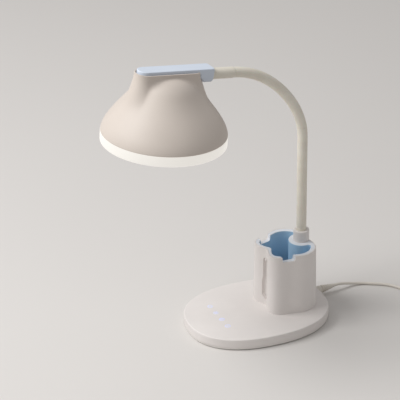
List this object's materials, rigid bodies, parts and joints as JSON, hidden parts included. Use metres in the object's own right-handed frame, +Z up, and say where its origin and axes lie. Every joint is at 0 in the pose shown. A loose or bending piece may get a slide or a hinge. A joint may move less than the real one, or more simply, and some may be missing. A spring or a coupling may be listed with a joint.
{
  "type": "desk lamp with organizer base",
  "caption": "Desk lamp with a weighted oval base, touch keys, a lobed pen and phone cup, a flexible neck and a bell-shaped shade with an opal light panel.",
  "frame": {"origin": "centre of the foot pad on the desk, in the middle of the oval base", "axes": "+Z up, +Y towards the back where the pole and the cord are, -Y towards the user and the touch keys, +X to the user's right"},
  "size_m": [0.1676, 0.4361, 0.347],
  "materials": {
    "white_shell": "off-white matte moulded ABS",
    "white_bottom": "off-white matte moulded ABS",
    "foam_pad": "dark foam rubber",
    "ballast_steel": "plain steel plate",
    "screw_steel": "zinc-plated steel",
    "circuit_board": "green glass-fibre circuit board",
    "led_package": "yellow phosphor on a white LED package",
    "light_guide": "frosted clear acrylic",
    "spring_brass": "plain brass",
    "black_plastic": "black moulded nylon",
    "lead_rubber": "black wire insulation",
    "blue_liner": "medium blue matte moulded ABS",
    "pole_steel": "drawn steel tube",
    "neck_silicone": "cream matte silicone",
    "ferrule_plastic": "cream matte moulded ABS",
    "blue_spine": "powder blue matte moulded ABS",
    "shade_plastic": "warm beige-white matte moulded ABS",
    "plate_aluminium": "plain aluminium sheet",
    "opal_diffuser": "opal white satin acrylic",
    "cord_rubber": "off-white satin PVC",
    "tie_rubber": "light grey soft PVC strap",
    "usb_steel": "nickel-plated steel"
  },
  "bodies": {
    "base": {"base_cover": "white_shell", "base_bottom": "white_bottom", "base_pad": "foam_pad", "ballast_plate": "ballast_steel", "base_screws": "screw_steel", "control_board": "circuit_board", "board_screws": "screw_steel", "key_leds": "led_package", "key_light_guides": "light_guide", "touch_springs": "spring_brass", "dc_jack": "black_plastic", "base_lead": "lead_rubber", "organizer_shell": "white_shell", "organizer_liner": "blue_liner", "organizer_screws": "screw_steel", "pole_tube": "pole_steel", "pole_screws": "screw_steel", "pole_collar": "white_shell", "pole_sleeve": "neck_silicone", "dc_plug": "cord_rubber", "plug_relief": "cord_rubber", "cord_run": "cord_rubber", "cord_coil": "cord_rubber", "cord_tail": "cord_rubber", "cord_tie": "tie_rubber", "usb_grip": "cord_rubber", "usb_shell": "usb_steel"},
    "neck_1": {"neck_link_1": "neck_silicone"},
    "neck_2": {"neck_link_2": "neck_silicone"},
    "neck_3": {"neck_link_3": "neck_silicone"},
    "neck_4": {"neck_link_4": "neck_silicone"},
    "neck_5": {"neck_link_5": "neck_silicone"},
    "neck_6": {"neck_link_6": "neck_silicone"},
    "head": {"neck_ferrule": "ferrule_plastic", "head_spine": "blue_spine", "spine_screws": "screw_steel", "shade": "shade_plastic", "led_plate": "plate_aluminium", "led_chips": "led_package", "head_screws": "screw_steel", "head_lead": "lead_rubber", "diffuser": "opal_diffuser"}
  },
  "joints": [
    {"name": "neck_bend_1", "type": "hinge", "parent": "base", "child": "neck_1", "pos_m": [0, 0.062, 0.2198], "axis": [1, 0, 0], "range_deg": [-18, 10]},
    {"name": "neck_side_1", "type": "hinge", "parent": "neck_1", "child": "neck_2", "pos_m": [0, 0.05822, 0.24304], "axis": [0, 0.9483, 0.3173], "range_deg": [-12, 12]},
    {"name": "neck_bend_2", "type": "hinge", "parent": "neck_2", "child": "neck_3", "pos_m": [0, 0.04833, 0.26448], "axis": [1, 0, 0], "range_deg": [-18, 10]},
    {"name": "neck_side_2", "type": "hinge", "parent": "neck_3", "child": "neck_4", "pos_m": [0, 0.03429, 0.28346], "axis": [0, 0.7431, 0.6691], "range_deg": [-12, 12]},
    {"name": "neck_bend_3", "type": "hinge", "parent": "neck_4", "child": "neck_5", "pos_m": [0, 0.01701, 0.29957], "axis": [1, 0, 0], "range_deg": [-18, 10]},
    {"name": "neck_side_3", "type": "hinge", "parent": "neck_5", "child": "neck_6", "pos_m": [0, -0.00316, 0.31181], "axis": [0, 0.4147, 0.91], "range_deg": [-12, 12]},
    {"name": "neck_bend_4", "type": "hinge", "parent": "neck_6", "child": "head", "pos_m": [0, -0.0257, 0.31874], "axis": [1, 0, 0], "range_deg": [-18, 10]}
  ]
}
